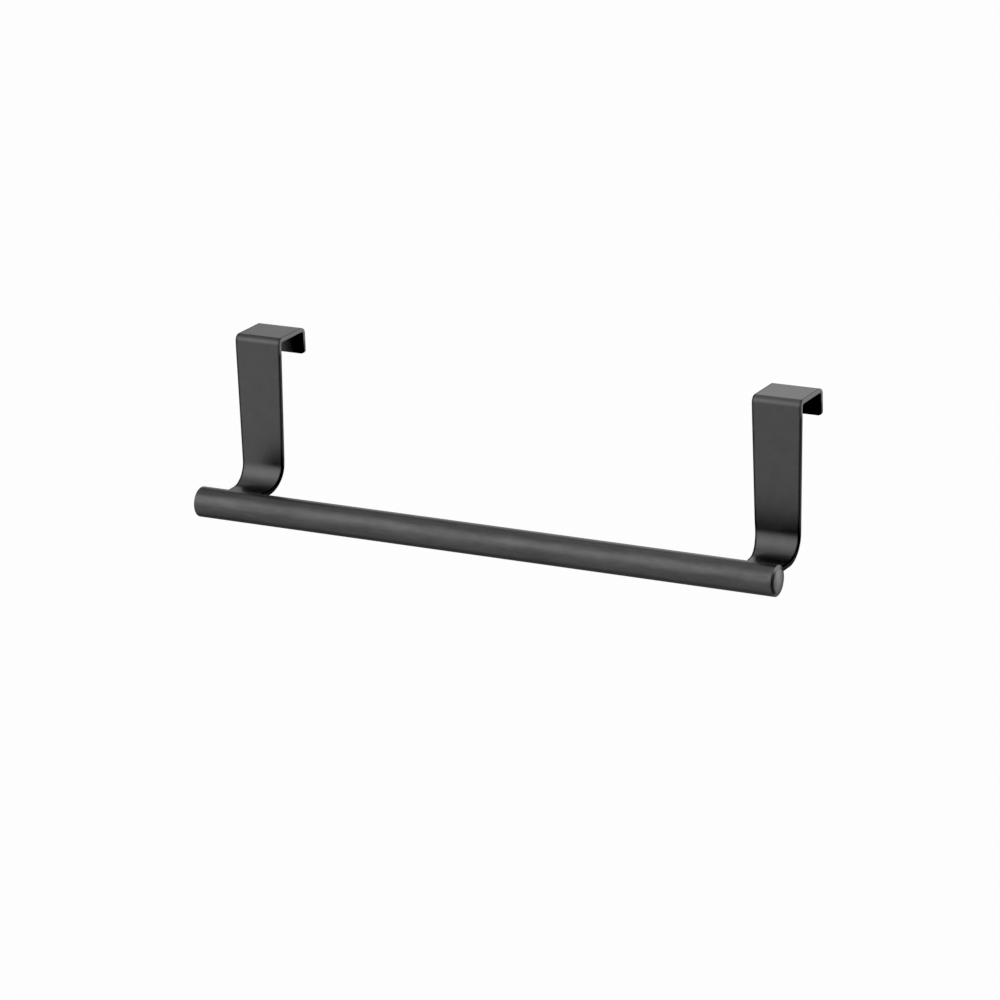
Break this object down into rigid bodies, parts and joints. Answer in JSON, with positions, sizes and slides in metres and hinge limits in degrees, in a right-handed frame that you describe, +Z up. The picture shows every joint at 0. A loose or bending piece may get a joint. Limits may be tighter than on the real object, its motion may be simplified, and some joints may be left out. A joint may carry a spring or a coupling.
{
  "type": "over cabinet towel bar",
  "caption": "Round towel bar held in front of a cabinet door by two bent steel straps that hook over the door's top edge.",
  "frame": {"origin": "on the line where the door's outer face meets its top edge, midway between the two hooks", "axes": "+X along the bar to the right as seen from the room, +Y through the door's thickness into the cabinet, +Z up"},
  "size_m": [0.3418, 0.0739, 0.0921],
  "materials": {
    "black_coat": "satin black powder coat on mild steel"
  },
  "bodies": {
    "root": {"bar_tube": "black_coat", "left_end_cap": "black_coat", "right_end_cap": "black_coat", "left_strap": "black_coat", "right_strap": "black_coat", "left_weld": "black_coat", "right_weld": "black_coat"}
  },
  "joints": []
}
